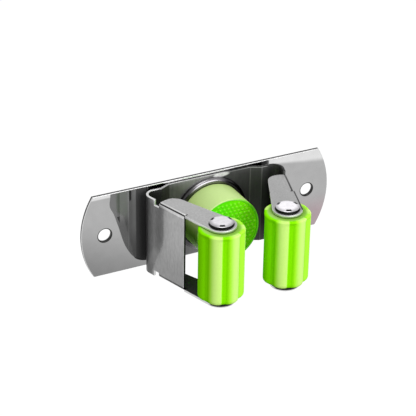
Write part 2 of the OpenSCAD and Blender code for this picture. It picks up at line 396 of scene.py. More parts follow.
wing_reflection_low = -0.06
wing_reflection_high = 0.03
wing_reflection_edge = [(wing_reflection_low, -0.0290), (wing_reflection_high, -0.0510), (-0.0178, -0.0330), (-0.0162, -0.0385),
             (-0.0115, -0.0426), (0.0046, -0.0483), (0.0100, -0.0500), (0.0150, -0.0521), (0.0195, -0.0518)]
wing_reflection_dulling = 0.97
wing_reflection_outer_tones = (0.145, 0.095)
wing_reflection_middle_tones = (0.087, 0.165)
wing_reflection_stripe_tones = (0.105, 0.175)
wing_reflection_inner_tone = 0.060
wing_reflection_mark_tone = 0.005
# Painted reflection and shade on the plate's face.
plate_band_reflection_tone = 0.69
plate_grey_tones = (0.22, 0.40)
hole_shade_tone = 0.02
clip_shadow_tone = 0.015


def painted_wing_reflection(tree, x, y, z):
    """How far the plate's shine is dulled for a painted reflection of the clip's left wing beside it. Its
    left edge is a line through points, each given by Z and X."""
    limit = curve_of(tree, z, wing_reflection_edge, wing_reflection_low, wing_reflection_high)
    inside = fade(tree, minus(tree, x, limit), -0.0004, 0.0004)
    return times(tree, inside, fade(tree, x, -0.034, -0.032, wing_reflection_dulling, 0.0))


def wing_reflection_tone(tree, x, z):
    """The painted reflection's upright bands, with a pale line, a dark streak and a small dark wedge."""
    outer = fade(tree, x, -0.0495, -0.0474, *wing_reflection_outer_tones)
    middle = times(tree, fade(tree, z, 0.003, 0.010, *wing_reflection_middle_tones),
                   fade(tree, z, -0.014, -0.004, 0.7, 1.0))
    tone = between(tree, fade(tree, x, -0.0473, -0.0470), outer, middle)
    pale_line = window(tree, x, -0.0429, -0.0425, 0.0001)
    tone = between(tree, pale_line, tone, times(tree, middle, 1.4))
    stripe = times(tree, fade(tree, x, -0.0415, -0.0392, *wing_reflection_stripe_tones),
                   fade(tree, z, -0.010, 0.003, 0.6, 1.0))
    tone = between(tree, fade(tree, x, -0.0425, -0.0423), tone, stripe)
    tone = between(tree, fade(tree, x, -0.0390, -0.0385), tone, wing_reflection_inner_tone)
    streak = times(tree, window(tree, x, -0.0422, -0.0411, 0.0001), fade(tree, z, 0.0150, 0.0164))
    from_slant = minus(tree, x, fade(tree, z, 0.0045, 0.0084, -0.0472, -0.0486))
    wedge = times(tree, fade(tree, from_slant, -0.0001, 0.0001), fade_out(tree, z, 0.0084, 0.0086),
                  fade_out(tree, x, -0.0473, -0.0471))
    return between(tree, calc(tree, "MAXIMUM", streak, wedge), tone, wing_reflection_mark_tone)


def plate_tone(tree, x, y, z):
    """Mid grey that darkens towards the lower left as a painted reflection, with a pale painted reflection
    in a band under the top edge that widens to the right, a painted shadow behind the clip's top, and
    painted shade round the screw holes."""
    # Painted reflection: a pale band under the top edge, and a grey that darkens towards the lower left.
    band_width = fade(tree, x, 0.015, 0.080, 0.0018, 0.0072)
    band_share = calc(tree, "DIVIDE", minus(tree, plate_high.z, z), band_width)
    slant = calc(tree, "ADD", z, times(tree, x, 0.35))
    grey = fade(tree, slant, -0.044, -0.010, *plate_grey_tones)
    face = between(tree, fade(tree, band_share, 0.75, 1.25), plate_band_reflection_tone, grey)
    in_wing_reflection = fade(tree, painted_wing_reflection(tree, x, y, z), 0.0, 0.5)
    face = between(tree, in_wing_reflection, face, wing_reflection_tone(tree, x, z))
    # Painted shade round the screw holes.
    from_hole = diagonal(tree, minus(tree, calc(tree, "ABSOLUTE", x), hole_x), z)
    clear = fade(tree, from_hole, hole_radius + 0.0005, hole_radius + 0.0006)
    face = between(tree, clear, hole_shade_tone, face)
    # Painted shadow behind the clip's top.
    shadow = times(tree, window(tree, x, -0.0300, 0.0285, 0.0006), window(tree, z, 0.0170, 0.0209, 0.0002))
    return between(tree, shadow, face, clip_shadow_tone)


def plate_tint(tree, x, y, z):
    """A faint pink by the right roller, a painted reflection."""
    share = times(tree, fade(tree, x, 0.036, 0.050), fade_out(tree, z, -0.016, -0.002))
    return vector(tree, 1.0, between(tree, share, 1.0, 0.80), between(tree, share, 1.0, 0.85))


plate_mesh = flat_piece("wall_plate_polished", [
    plate_rim(), circle_points(-hole_x, hole_radius), circle_points(hole_x, hole_radius),
    circle_points(0, stud_head_radius + stud_play)], plate_low.y, plate_high.y, plate_edge)
front_slot, highlight_slot, shade_slot, back_slot = range(4)
# The edge finishes are painted: a highlight on the edges that face forward, and shade in the screw holes and
# on the other edges.
for finish in (steel("polished_plate", plate_tone, roughness=0.06, spread=0.03, tint=plate_tint,
                     dull=painted_wing_reflection),
               steel("plate_edge", tone=0.62, roughness=0.40),
               steel("plate_rim", tone=0.04, roughness=0.3, spread=0.3),
               steel("plate_back", tone=0.40, roughness=0.22)):
    plate_mesh.materials.append(finish)
flat_limit = 0.98
forward_limit = -0.15
for face in plate_mesh.polygons:
    spot = face.center
    in_hole = math.hypot(abs(spot.x) - hole_x, spot.z) < hole_radius + plate_edge
    if abs(face.normal.y) > flat_limit:
        face.material_index = front_slot if face.normal.y < 0 else back_slot
    elif face.normal.y < forward_limit and not in_hole:
        face.material_index = highlight_slot
    else:
        face.material_index = shade_slot
shade(plate_mesh)
for face in plate_mesh.polygons:
    face.use_smooth = face.material_index in (highlight_slot, shade_slot)
put_piece("wall_plate_polished", plate_mesh, "base", "plate_steel", "wall_plate")


# The spring clip: one strip of spring steel, riveted to the plate at its middle,
# bent out to two wings and forward to two side walls, whose ears are folded over
# the rollers. It is built as two halves that meet at the stud.
sheet = 0.0012
cut_edge = 0.00015
cut_angle = math.radians(50)
strip_half = 0.0205
notch_half = 0.0176
wall_half = 0.0183
web_end = 0.0205
step_start = 0.02175
step_end = 0.0270
wing_level = 0.0031
wing_end = 0.030
bend_radius = 0.0015
corner_centre = (0.03145, 0.0075)
corner_mid = 0.0044
wall_x = 0.0065
wall_front = 0.0172
notch_back = 0.0375
ear_back = 0.0344
ear_level = 0.0196
ear_radius = 0.0071
ear_corner = (0.00273, 0.0284)
ear_corner_radius = 0.006
ear_taper = math.radians(7.7)
fold_mid = 0.0013
fold_x = 0.0052
fold_inset = 0.0003
fold_steps = 8
relief = 0.0004
pin_bore = 0.00305
pin_x = 0.0172
pin_y = -0.0480
toe_in = math.radians(17.3)


def rounded(points, radii, steps=4):
    """A closed outline with its corners rounded by the given radii."""
    result = []
    for i, (point, radius) in enumerate(zip(points, radii)):
        here = Vector(point)
        if not radius:
            result.append(here)
            continue
        back = (Vector(points[i - 1]) - here).normalized()
        ahead = (Vector(points[(i + 1) % len(points)]) - here).normalized()
        half = back.angle(ahead) / 2
        centre = here + (back + ahead).normalized() * radius / math.sin(half)
        first = here + back * radius / math.tan(half) - centre
        last = here + ahead * radius / math.tan(half) - centre
        result += [centre + radius * first.lerp(last, k / steps).normalized() for k in range(steps + 1)]
    return result


def at_wall(x, back, z):
    """A place given in the frame of the right side wall: out of the wall, back from the pin, and up."""
    return (pin_x + x * math.cos(toe_in) + back * math.sin(toe_in),
            pin_y - x * math.sin(toe_in) + back * math.cos(toe_in), z)


def in_plan(point, z):
    """A place given by its X and its distance in front of the plate."""
    return (point[0], plate_front - point[1], z)


def ear_outlines():
    """The front and rear parts of an ear, which meet across the pin's hole."""
    front = arc((0, 0), ear_radius, 0, -math.pi, 24) + arc((0, 0), pin_bore, -math.pi, 0, 16)
    inset = fold_x - fold_inset
    rear = [Vector((-ear_radius, 0)),
            Vector((-ear_radius * math.cos(ear_taper), ear_radius * math.sin(ear_taper)))]
    rear += arc(ear_corner, ear_corner_radius, math.pi - ear_taper, math.pi / 2, 10)
    rear += [Vector((inset, ear_back)), Vector((inset, wall_front)), Vector((fold_x, wall_front)),
             Vector((fold_x, wall_front - relief)), Vector((ear_radius, wall_front - relief)),
             Vector((ear_radius, 0))]
    return front, rear + arc((0, 0), pin_bore, 0, math.pi, 16)


def clip_half(side):
    """The middle surface of one half of the clip, thickened to the sheet, as a mesh."""
    bm = bmesh.new()

    def face(places):
        bm.faces.new([bm.verts.new(place) for place in places])

    def strips(columns, rows):
        for first, last in zip(columns, columns[1:]):
            for low, high in zip(rows, rows[1:]):
                face([first(low), last(low), last(high), first(high)])

    notched = [-strip_half, -notch_half, notch_half, strip_half]
    bend = rounded([(0.0, sheet / 2), (step_start, sheet / 2), (step_end, wing_level),
                    (wing_end, wing_level)], [0, bend_radius, bend_radius, 0])[1:-1]
    corner = arc(corner_centre, corner_mid, -math.pi / 2, toe_in, 18)
    plan = [Vector((web_end, sheet / 2))] + bend + corner
    columns = [lambda z, p=p: in_plan(p, z) for p in plan] + [lambda z: at_wall(wall_x, notch_back, z)]
    strips(columns, notched)
    stud_hole = arc((0, 0), pin_bore, math.pi / 2, -math.pi / 2, 16)
    middle = [(web_end, z) for z in notched] + [(0.0, strip_half)] + [tuple(p) for p in stud_hole]
    face([(x, plate_front - sheet / 2, z) for x, z in middle + [(0.0, -strip_half)]])
    strips([lambda z: at_wall(wall_x, notch_back, z), lambda z: at_wall(wall_x, ear_back, z)],
           [-notch_half, notch_half])
    strips([lambda z: at_wall(wall_x, ear_back, z), lambda z: at_wall(wall_x, wall_front, z)],
           [-wall_half, -notch_half, notch_half, wall_half])
    for end in (-1, 1):
        turns = [math.pi / 2 * i / fold_steps for i in range(fold_steps + 1)]
        fold = [(fold_x + fold_mid * math.cos(a), end * (wall_half + fold_mid * math.sin(a))) for a in turns]
        fold.append((fold_x - fold_inset, end * ear_level))
        for (x, z), (next_x, next_z) in zip(fold, fold[1:]):
            face([at_wall(x, ear_back, z), at_wall(x, wall_front, z), at_wall(next_x, wall_front, next_z),
                  at_wall(next_x, ear_back, next_z)])
        for outline in ear_outlines():
            face([at_wall(p[0], p[1], end * ear_level) for p in outline])
    bmesh.ops.remove_doubles(bm, verts=bm.verts, dist=weld)
    if side < 0:
        bmesh.ops.scale(bm, vec=(-1, 1, 1), verts=bm.verts)
    bmesh.ops.recalc_face_normals(bm, faces=bm.faces)
    web = min(bm.faces, key=lambda f: abs(f.calc_center_median().x))
    if web.normal.y < 0:
        bmesh.ops.reverse_faces(bm, faces=bm.faces)
    holder = put_object("clip_half", mesh_of(bm, "clip_half"))
    for _ in range(3):
        holder.data.materials.append(None)
    solid = holder.modifiers.new("sheet", "SOLIDIFY")
    solid.thickness = sheet
    solid.offset = 0.0
    solid.use_even_offset = True
    solid.material_offset = 1
    solid.material_offset_rim = 2
    made = plain_mesh(holder)
    bm = bmesh.new()
    bm.from_mesh(made)
    edges = [e for e in bm.edges
             if e.calc_face_angle(0) > cut_angle and max(abs(v.co.x) for v in e.verts) > weld]
    bmesh.ops.bevel(bm, geom=edges, offset=cut_edge, segments=2, profile=0.5, affect="EDGES", material=2)
    bm.to_mesh(made)
    bm.free()
    return made


# Tones of the clip's steel, most of them painted light: shade on the walls, the corner, the inside and the
# gaps, light on the ears, and highlights on the folds, bends and cut edges.
wall_tones = (0.27, 0.38)
corner_tones = (0.12, 0.22)
ear_tones = (0.42, 0.375)
painted_highlight_tone = 0.62
shade_line_tone = 0.02
lower_fold_shade_tone = 0.06
head_shadow_tone = 0.01
web_left_tones = (0.028, 0.200)
web_right_tone = 0.038
inner_corner_tone = 0.012
inner_wall_tone = 0.020
bend_highlight_tone = 0.11
upper_edge_highlight_tones = (0.16, 0.30)
upper_reflection_tone = 0.60
cut_highlight_tone = 0.66
cut_dull_tone = 0.38
cut_shade_tone = 0.03


def halves(tree, value, first, second):
    """The first number where the value is below zero, as on the left or lower half, and else the second."""
    return fade(tree, value, -0.001, 0.001, first, second)


def arm_place(tree, x, y):
    """How far a place lies from its arm's pin: outward across the side wall, and back along it."""
    aside = minus(tree, calc(tree, "ABSOLUTE", x), pin_x)
    behind = minus(tree, y, pin_y)
    out = minus(tree, times(tree, aside, math.cos(toe_in)), times(tree, behind, math.sin(toe_in)))
    back = calc(tree, "ADD", times(tree, aside, math.sin(toe_in)), times(tree, behind, math.cos(toe_in)))
    return out, back


def outer_tone(tree, x, y, z):
    """Satin grey, with painted shade darker round the rear corner and lower down the walls, paler ears as
    painted light, pale highlight and dark reflection lines at the folds, painted shade along the right ears'
    rim and a painted shadow round the rivet heads.
    """
    up_down = calc(tree, "ABSOLUTE", z)
    forward = times(tree, y, -1.0)
    clouds = noise(tree, vector(tree, x, y, z), 2500.0, 3.0)
    sway = times(tree, minus(tree, clouds, 0.5), 0.003)
    # Painted shade: darker round the rear corner, and lower down the walls.
    bulge = fade(tree, z, -0.021, 0.004, -0.0035, 0.0040)
    limit = calc(tree, "ADD", calc(tree, "ADD", bulge, sway), 0.0165)
    rear = fade_out(tree, minus(tree, forward, limit), -0.0005, 0.0005)
    corner = times(tree, fade(tree, forward, 0.007, 0.014, *corner_tones),
                   fade(tree, z, -0.019, -0.006, 0.6, 1.0))
    wall = between(tree, rear, fade(tree, z, -0.016, 0.010, *wall_tones), corner)
    # Painted highlight and dark reflection lines at the upper folds, and painted shade on the lower ones.
    above = between(tree, window(tree, up_down, 0.0194, 0.0199, 0.0001),
                    halves(tree, x, painted_highlight_tone, shade_line_tone), shade_line_tone)
    fold = between(tree, halves(tree, z, 0.0, 1.0), lower_fold_shade_tone, above)
    out, back = arm_place(tree, x, y)
    # Painted shade along the right ears' outer rim, and a painted shadow round the rivet head.
    rim = times(tree, fade(tree, out, 0.0063, 0.0064), halves(tree, x, 0.0, 1.0))
    ear = between(tree, rim, halves(tree, x, *ear_tones), shade_line_tone)
    ear = between(tree, fade(tree, diagonal(tree, out, back), 0.0059, 0.0061), head_shadow_tone, ear)
    fold = between(tree, fade(tree, up_down, 0.02012, 0.02018), fold, ear)
    at_fold = times(tree, fade(tree, up_down, 0.0180, 0.0184), fade(tree, forward, 0.0150, 0.0160))
    return between(tree, at_fold, wall, fold)


def inner_tone(tree, x, y, z):
    """Painted shade and dark reflection, since it faces the rollers: lighter on the left of the web, with
    painted highlights along the right bends and the upper edge, and a painted reflection as a pale spot
    above the stud."""
    # Painted shade and dark reflection on the web and walls, lighter on the left of the web.
    left = fade(tree, x, -0.034, -0.004, *web_left_tones)
    left = between(tree, fade(tree, x, -0.0222, -0.0216), times(tree, left, 0.6), left)
    web = between(tree, fade(tree, x, -0.001, 0.004), left, web_right_tone)
    web = between(tree, fade(tree, x, 0.028, 0.032), web, inner_corner_tone)
    web = between(tree, fade_out(tree, y, -0.0120, -0.0100), web, inner_wall_tone)
    # Painted highlights along the bends and the upper edge, and a painted reflection as a pale spot.
    bend_highlights = calc(tree, "MAXIMUM", window(tree, x, 0.0217, 0.0221, 0.0001),
                 window(tree, x, 0.0268, 0.0273, 0.0001))
    web = between(tree, bend_highlights, web, bend_highlight_tone)
    upper = times(tree, window(tree, x, 0.0080, 0.0300, 0.0010), fade(tree, z, 0.0199, 0.0201))
    web = between(tree, upper, web, fade(tree, x, 0.015, 0.022, *upper_edge_highlight_tones))
    reflection_spot_x = calc(tree, "DIVIDE", minus(tree, x, 0.0060), 0.0044)
    reflection_spot_z = calc(tree, "DIVIDE", minus(tree, z, 0.0196), 0.0012)
    spot = fade_out(tree, squares(tree, reflection_spot_x, reflection_spot_z), 0.5, 1.3)
    return between(tree, spot, web, upper_reflection_tone)


def inner_shade_dulling(tree, x, y, z):
    """How far the shine is dulled on the clip's inside, right of the stud and on the side walls and ears, so
    that its painted shade shows in place of reflections.
    """
    dull = calc(tree, "MAXIMUM", fade(tree, x, -0.001, 0.004), fade_out(tree, y, -0.0120, -0.0100))
    return times(tree, dull, 0.75)


def cut_tone(tree, x, y, z):
    """Painted highlights on the cut edges round the left corner and the ears, and dull along the left of the
    web. Painted shade on its right, inside the walls' front and outside the right ears, and a painted shadow
    in front of the lower ears' top."""
    web = between(tree, fade(tree, x, 0.006, 0.012), cut_dull_tone, cut_shade_tone)
    web = between(tree, fade_out(tree, x, -0.031, -0.027), web, painted_highlight_tone)
    out, back = arm_place(tree, x, y)
    # Painted shade inside the walls' front and at its top and bottom, and a painted highlight outside it.
    at_front = window(tree, back, wall_front - 0.0006, wall_front + 0.0006, 0.0001)
    front = between(tree, fade(tree, out, 0.00695, 0.00705), 0.015, 0.60)
    front = between(tree, fade(tree, calc(tree, "ABSOLUTE", z), 0.0183, 0.0185), front, shade_line_tone)
    rim = times(tree, fade(tree, out, 0.0066, 0.0068), halves(tree, x, 0.0, 1.0))
    # Painted shadow in the gap in front of the lower ears' top.
    gap_shadow = times(tree, fade(tree, z, -0.0198, -0.0195), halves(tree, z, 1.0, 0.0),
                fade_out(tree, minus(tree, y, pin_y), -0.0035, -0.0015))
    edge = between(tree, calc(tree, "MAXIMUM", rim, gap_shadow), cut_highlight_tone, cut_shade_tone)
    ear = between(tree, at_front, edge, front)
    forward = minus(tree, times(tree, y, -1.0), halves(tree, x, 0.0, 0.0055))
    return between(tree, fade(tree, forward, 0.0080, 0.0110), web, ear)


clip_outside = steel("clip_outside", outer_tone, roughness=0.32, grain=(1100.0, 1100.0, 350.0),
                     spread=0.12, depth=0.00002, stored="rest_place")
clip_inside = steel("clip_inside", inner_tone, roughness=0.55, grain=(900.0, 900.0, 120.0),
                    spread=0.15, depth=0.00002, dull=inner_shade_dulling, stored="rest_place")
clip_cut = steel("clip_cut_edge", cut_tone, roughness=0.45, grain=(400.0, 400.0, 400.0),
                 spread=0.06, stored="rest_place")
for name, side, nodes in (("left", -1, ("clip_web", "left_clip_arm")), ("right", 1, ("right_clip_arm",))):
    mesh = clip_half(side)
    for i, finish in enumerate((clip_outside, clip_inside, clip_cut)):
        mesh.materials[i] = finish
    rest_place = mesh.attributes.new("rest_place", "FLOAT_VECTOR", "POINT")
    for vertex, stored in zip(mesh.vertices, rest_place.data):
        stored.vector = vertex.co
    shade(mesh)
    piece = put_piece(name + "_clip_half", mesh, None, "clip_steel", *nodes)
    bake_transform(piece)


# The ring: a collar turned from steel and chromed. It stands on the web, and the
# bumper's foot slides in it.
def lathe(name, profile, place, closed=True, steps=96):
    """A turned piece from an outline of radii and heights, put in place by a matrix, as a mesh."""
    bm = bmesh.new()
    rings = []
    turns = [2 * math.pi * i / steps for i in range(steps)]
    for radius, height in profile:
        spots = turns if radius > weld else turns[:1]
        rings.append([bm.verts.new((radius * math.cos(a), radius * math.sin(a), height)) for a in spots])
    for low, high in zip(rings, rings[1:] + rings[:1] if closed else rings[1:]):
        for i in range(steps):
            corners = [low[i % len(low)], low[(i + 1) % steps % len(low)],
                       high[(i + 1) % steps % len(high)], high[i % len(high)]]
            bm.faces.new(dict.fromkeys(corners))
    bmesh.ops.recalc_face_normals(bm, faces=bm.faces)
    bmesh.ops.transform(bm, matrix=place, verts=bm.verts)
    mesh = mesh_of(bm, name)
    shade(mesh)
    return mesh


def turned_piece(name, profile, place, finish, body, slot, node, closed=True, steps=96):
    """A finished piece from the lathe, in one finish, which stands for a CAD node."""
    mesh = lathe(name, profile, place, closed, steps)
    mesh.materials.append(finish)
    put_piece(name, mesh, body, slot, node)


def ring_outline(inner, outer, low, high, radii, steps=4):
    """The outline of a ring or disc, with its corners rounded, from the inner low corner round."""
    return rounded([(inner, low), (outer, low), (outer, high), (inner, high)], radii, steps)


def ring_tone(tree, x, y, z):
    """Chrome with a painted dark reflection towards its sides, where it faces the dark web."""
    return times(tree, fade(tree, x, -0.013, -0.006, 0.06, 0.21), fade(tree, x, 0.003, 0.009, 1.0, 0.15))


bumper_axis = Matrix.Translation((0, plate_front, 0)) @ to_front
ring_inner = 0.0169
ring_outer = 0.0194
ring_front = 0.0036
ring_profile = ring_outline(ring_inner, ring_outer, sheet, ring_front, [0.0001, 0.0001, 0.0016, 0.0004], 6)
ring_chrome = steel("ring_chrome", ring_tone, roughness=0.22, spread=0.06, tint=(0.99, 0.96, 1.0))
turned_piece("bumper_ring_chromed", ring_profile, bumper_axis, ring_chrome, "base", "ring_steel",
             "bumper_ring")


# The bumper: a sleeve moulded in soft rubber, open at the back, with a floor that
# slides on the stud and a thin rim round its face.
def rubber(name, paint, roughness, shine=0.5, grain=900.0, depth=0.00002, centre=(0, 0, 0)):
    """Moulded rubber, coloured by a function of the place from a centre, with a fine skin."""
    made, tree, shader = new_finish(name)
    shader.inputs["Specular IOR Level"].default_value = shine
    place = put_node(tree, "ShaderNodeTexCoord").outputs["Object"]
    centred = put_node(tree, "ShaderNodeVectorMath", {0: place, 1: centre}, operation="SUBTRACT").outputs[0]
    parts = put_node(tree, "ShaderNodeSeparateXYZ", {0: centred}).outputs
    clouds = noise(tree, centred, grain, 3.0)
    coat(tree, shader, paint(tree, *parts), spread_over(tree, clouds, 0.96, 1.04), clouds,
         (roughness * 0.85, roughness * 1.15), depth)
    return made


def blend_colour(tree, factor, first, second):
    """The first colour where the factor is 0 and the second where it is 1."""
    inputs = {0: factor}
    for key, colour in (("A", first), ("B", second)):
        inputs[key] = (*colour, 1) if isinstance(colour, tuple) else colour
    return put_node(tree, "ShaderNodeMix", inputs, data_type="RGBA").outputs["Result"]


sleeve_inner = 0.0144
sleeve_outer = 0.0166
sleeve_back = 0.0032
sleeve_front = 0.0208
recess_radius = 0.0158
recess_level = 0.0178
washer_recess_radius = 0.0070
bumper_floor_back = 0.0120
bumper_floor_front = 0.0140
# Painted light on the sleeve: a pale highlight on its upper shoulder and a paler top.
sleeve_highlight_green = (0.74, 1.0, 0.34)
sleeve_lit_top_green = (0.56, 0.77, 0.27)
sleeve_flank_green = (0.26, 0.72, 0.01)
sleeve_rim_green = (0.22, 0.85, 0.01)


def sleeve_paint(tree, x, y, z):
    """Pale green on the upper side as painted light, palest in a painted highlight on its upper shoulder,
    and deeper green down the flanks and on the right of the rim.
    """
    upper = blend_colour(tree, fade(tree, z, 0.0095, 0.0155), sleeve_highlight_green, sleeve_lit_top_green)
    flank = blend_colour(tree, fade(tree, z, -0.002, 0.006), sleeve_flank_green, upper)
    front = minus(tree, plate_front, y)
    rim = times(tree, fade(tree, front, 0.0198, 0.0203), fade(tree, x, 0.000, 0.010))
    return blend_colour(tree, rim, flank, sleeve_rim_green)


sleeve_profile = rounded(
    [(sleeve_inner, sleeve_back), (sleeve_outer, sleeve_back), (sleeve_outer, sleeve_front),
     (recess_radius, sleeve_front), (recess_radius, recess_level), (washer_recess_radius, recess_level),
     (washer_recess_radius, bumper_floor_front), (pin_bore, bumper_floor_front),
     (pin_bore, bumper_floor_back), (sleeve_inner, bumper_floor_back)],
    [0.0003, 0.0004, 0.00038, 0.0003, 0, 0.0003, 0, 0.0002, 0.0002, 0.0005])
sleeve_rubber = rubber("bumper_rubber", sleeve_paint, roughness=0.45)
turned_piece("bumper_sleeve", sleeve_profile, bumper_axis, sleeve_rubber, "bumper", "bumper_rubber",
             "bumper_plunger", steps=128)


# The grip pad: a harder green rubber disc glued into the bumper's face, moulded
# with rows of small round dots that grip the handle.
def new_tree(name, sizes):
    """An empty geometry tree with a mesh input and named sizes, with its input and output nodes."""
    tree = bpy.data.node_groups.new(name, "GeometryNodeTree")
    tree.interface.new_socket("Geometry", in_out="INPUT", socket_type="NodeSocketGeometry")
    for size in sizes:
        tree.interface.new_socket(size, in_out="INPUT", socket_type="NodeSocketFloat")
    tree.interface.new_socket("Geometry", in_out="OUTPUT", socket_type="NodeSocketGeometry")
    return tree, tree.nodes.new("NodeGroupInput").outputs, tree.nodes.new("NodeGroupOutput").inputs[0]


def finish_tree(tree, geometry, output, finish=None):
    """Ends a tree: instances made real, and its material set, now or later on the node that is returned."""
    real = put_node(tree, "GeometryNodeRealizeInstances", {0: geometry})
    painted = put_node(tree, "GeometryNodeSetMaterial", {"Geometry": real.outputs[0], "Material": finish})
    tree.links.new(painted.outputs[0], output)
    return painted


def run_tree(tree, mesh, values, place, angle=smooth_angle):
    """Runs a tree on a mesh with the given sizes, and puts the result in place."""
    holder = put_object(mesh.name, mesh)
    modifier = holder.modifiers.new("shape", "NODES")
    modifier.node_group = tree
    for item in tree.interface.items_tree:
        if item.in_out == "INPUT" and item.name in values:
            modifier[item.identifier] = values[item.name]
    made = plain_mesh(holder)
    made.name = mesh.name
    made.transform(place)
    shade(made, angle)
    return made


pad_radius = 0.01578
pad_front = 0.02035
dots_across = 15
dot_pitch = 0.0022
dot_radius = 0.00075
dot_height = 0.0004
dots_reach = 0.0146
pad_left_green = (0.11, 0.80, 0.004)
dot_left_green = (0.22, 0.90, 0.03)
# Painted light: the right of the pad is brighter, where the right roller shades it.
pad_right_green = (0.24, 1.0, 0.002)
dot_right_green = (0.36, 1.0, 0.04)


def pad_paint(tree, x, y, z):
    """Strong green, with paler tops on the dots, and brighter on the right as painted light where the right
    roller shades it.
    """
    dots = fade(tree, minus(tree, plate_front, y), 0.0203, 0.0207)
    left = blend_colour(tree, dots, pad_left_green, dot_left_green)
    right = blend_colour(tree, dots, pad_right_green, dot_right_green)
    return blend_colour(tree, fade(tree, x, -0.004, 0.012), left, right)


tree, sizes, output = new_tree("dotted_pad", ["Pitch", "Dot radius", "Dot height", "Level", "Reach"])
row_share = math.sin(math.pi / 3)
grid = put_node(tree, "GeometryNodeMeshGrid", {
    "Size X": times(tree, sizes["Pitch"], float(dots_across - 1)),
    "Size Y": times(tree, sizes["Pitch"], (dots_across + 1) * row_share),
    "Vertices X": dots_across, "Vertices Y": dots_across + 2})
index = put_node(tree, "GeometryNodeInputIndex")
row = calc(tree, "MODULO", index.outputs[0], float(dots_across + 2))
odd = calc(tree, "MODULO", row, 2.0)
offset = vector(tree, times(tree, odd, 0.5, sizes["Pitch"]), 0.0, sizes["Level"])
spots = put_node(tree, "GeometryNodeSetPosition", {"Geometry": grid.outputs[0], "Offset": offset})
place = put_node(tree, "GeometryNodeInputPosition")
x, y, z = put_node(tree, "ShaderNodeSeparateXYZ", {0: place.outputs[0]}).outputs
outside = calc(tree, "GREATER_THAN", diagonal(tree, x, y), sizes["Reach"])
inside = put_node(tree, "GeometryNodeDeleteGeometry", {"Geometry": spots.outputs[0], "Selection": outside})
dot = put_node(tree, "GeometryNodeMeshIcoSphere", {"Radius": 1.0, "Subdivisions": 2})
dot_size = vector(tree, sizes["Dot radius"], sizes["Dot radius"], sizes["Dot height"])
dots = put_node(tree, "GeometryNodeInstanceOnPoints", {
    "Points": inside.outputs[0], "Instance": dot.outputs[0], "Scale": dot_size})
joined = put_node(tree, "GeometryNodeJoinGeometry")
tree.links.new(sizes["Geometry"], joined.inputs[0])
tree.links.new(dots.outputs[0], joined.inputs[0])
finish_tree(tree, joined.outputs[0], output, rubber("pad_rubber", pad_paint, roughness=0.60, shine=0.0))
pad_profile = ring_outline(0.0, pad_radius, recess_level, pad_front, [0, 0.0002, 0.0005, 0])
disc = lathe("bumper_pad_dotted", pad_profile, Matrix(), closed=False, steps=128)
mesh = run_tree(tree, disc, {"Pitch": dot_pitch, "Dot radius": dot_radius, "Dot height": dot_height,
                             "Level": pad_front, "Reach": dots_reach}, bumper_axis)
put_piece("bumper_pad_dotted", mesh, "bumper", "pad_rubber", "bumper_pad")


# The spring: steel wire coiled round the stud, between the web and the bumper's
# floor. It pushes the bumper out to its keeper washer.
wire_radius = 0.0006
spring_radius = 0.0062
spring_turns = 5.0
spring_low = 0.0018
spring_high = 0.0114
tree, sizes, output = new_tree("coil", ["Radius", "Wire radius", "Height", "Turns"])
coil = put_node(tree, "GeometryNodeCurveSpiral", {
    "Resolution": 40, "Rotations": sizes["Turns"], "Height": sizes["Height"],
    "Start Radius": sizes["Radius"], "End Radius": sizes["Radius"]})
section = put_node(tree, "GeometryNodeCurvePrimitiveCircle", {
    "Resolution": 14, "Radius": sizes["Wire radius"]})
wire = put_node(tree, "GeometryNodeCurveToMesh", {
    "Curve": coil.outputs[0], "Profile Curve": section.outputs[0], "Fill Caps": True})
finish_tree(tree, wire.outputs[0], output, steel("spring_wire_steel", tone=0.45, roughness=0.3, spread=0.1))
mesh = run_tree(tree, bpy.data.meshes.new("bumper_spring_coil"),
                {"Radius": spring_radius, "Wire radius": wire_radius, "Height": spring_high - spring_low,
                 "Turns": spring_turns}, bumper_axis @ Matrix.Translation((0, 0, spring_low)))
piece = put_piece("bumper_spring_coil", mesh, "base", "spring_wire", "bumper_spring")
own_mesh(piece)


# The stud and its keeper washer: a countersunk rivet turned from steel, which
# holds the clip to the plate and carries the bumper behind a washer.
stud_radius = 0.0030
stud_back = -0.0018
sink_front = -0.0006
collar_radius = 0.0044
collar_front = 0.0022
keeper_radius = 0.0055
keeper_low = 0.01405
keeper_high = 0.01485
tip_radius = 0.0038
tip_front = 0.01545
rivet_steel = steel("rivet_steel", tone=0.5, roughness=0.25, spread=0.08)
stud_profile = rounded(
    [(0.0, stud_back), (stud_head_radius, stud_back), (stud_radius, sink_front), (stud_radius, sheet),
     (collar_radius, sheet), (collar_radius, collar_front), (stud_radius, collar_front),
     (stud_radius, keeper_high), (tip_radius, keeper_high), (tip_radius, tip_front), (0.0, tip_front)],
    [0, 0.0001, 0, 0, 0.0001, 0.0002, 0, 0, 0.0001, 0.0003, 0])
turned_piece("guide_stud_turned", stud_profile, bumper_axis, rivet_steel, "base", "rivet_steel",
             "guide_stud", closed=False, steps=64)


def washer(name, outer, low, high, place, finish, body, slot, node):
    """A thin ring with soft edges, from one height to another."""
    profile = ring_outline(pin_bore, outer, low, high, [(high - low) / 4] * 4, 2)
    turned_piece(name, profile, place, finish, body, slot, node, steps=64)


washer("keeper_washer_steel", keeper_radius, keeper_low, keeper_high, bumper_axis, rivet_steel, "base",
       "rivet_steel", "keeper_washer")


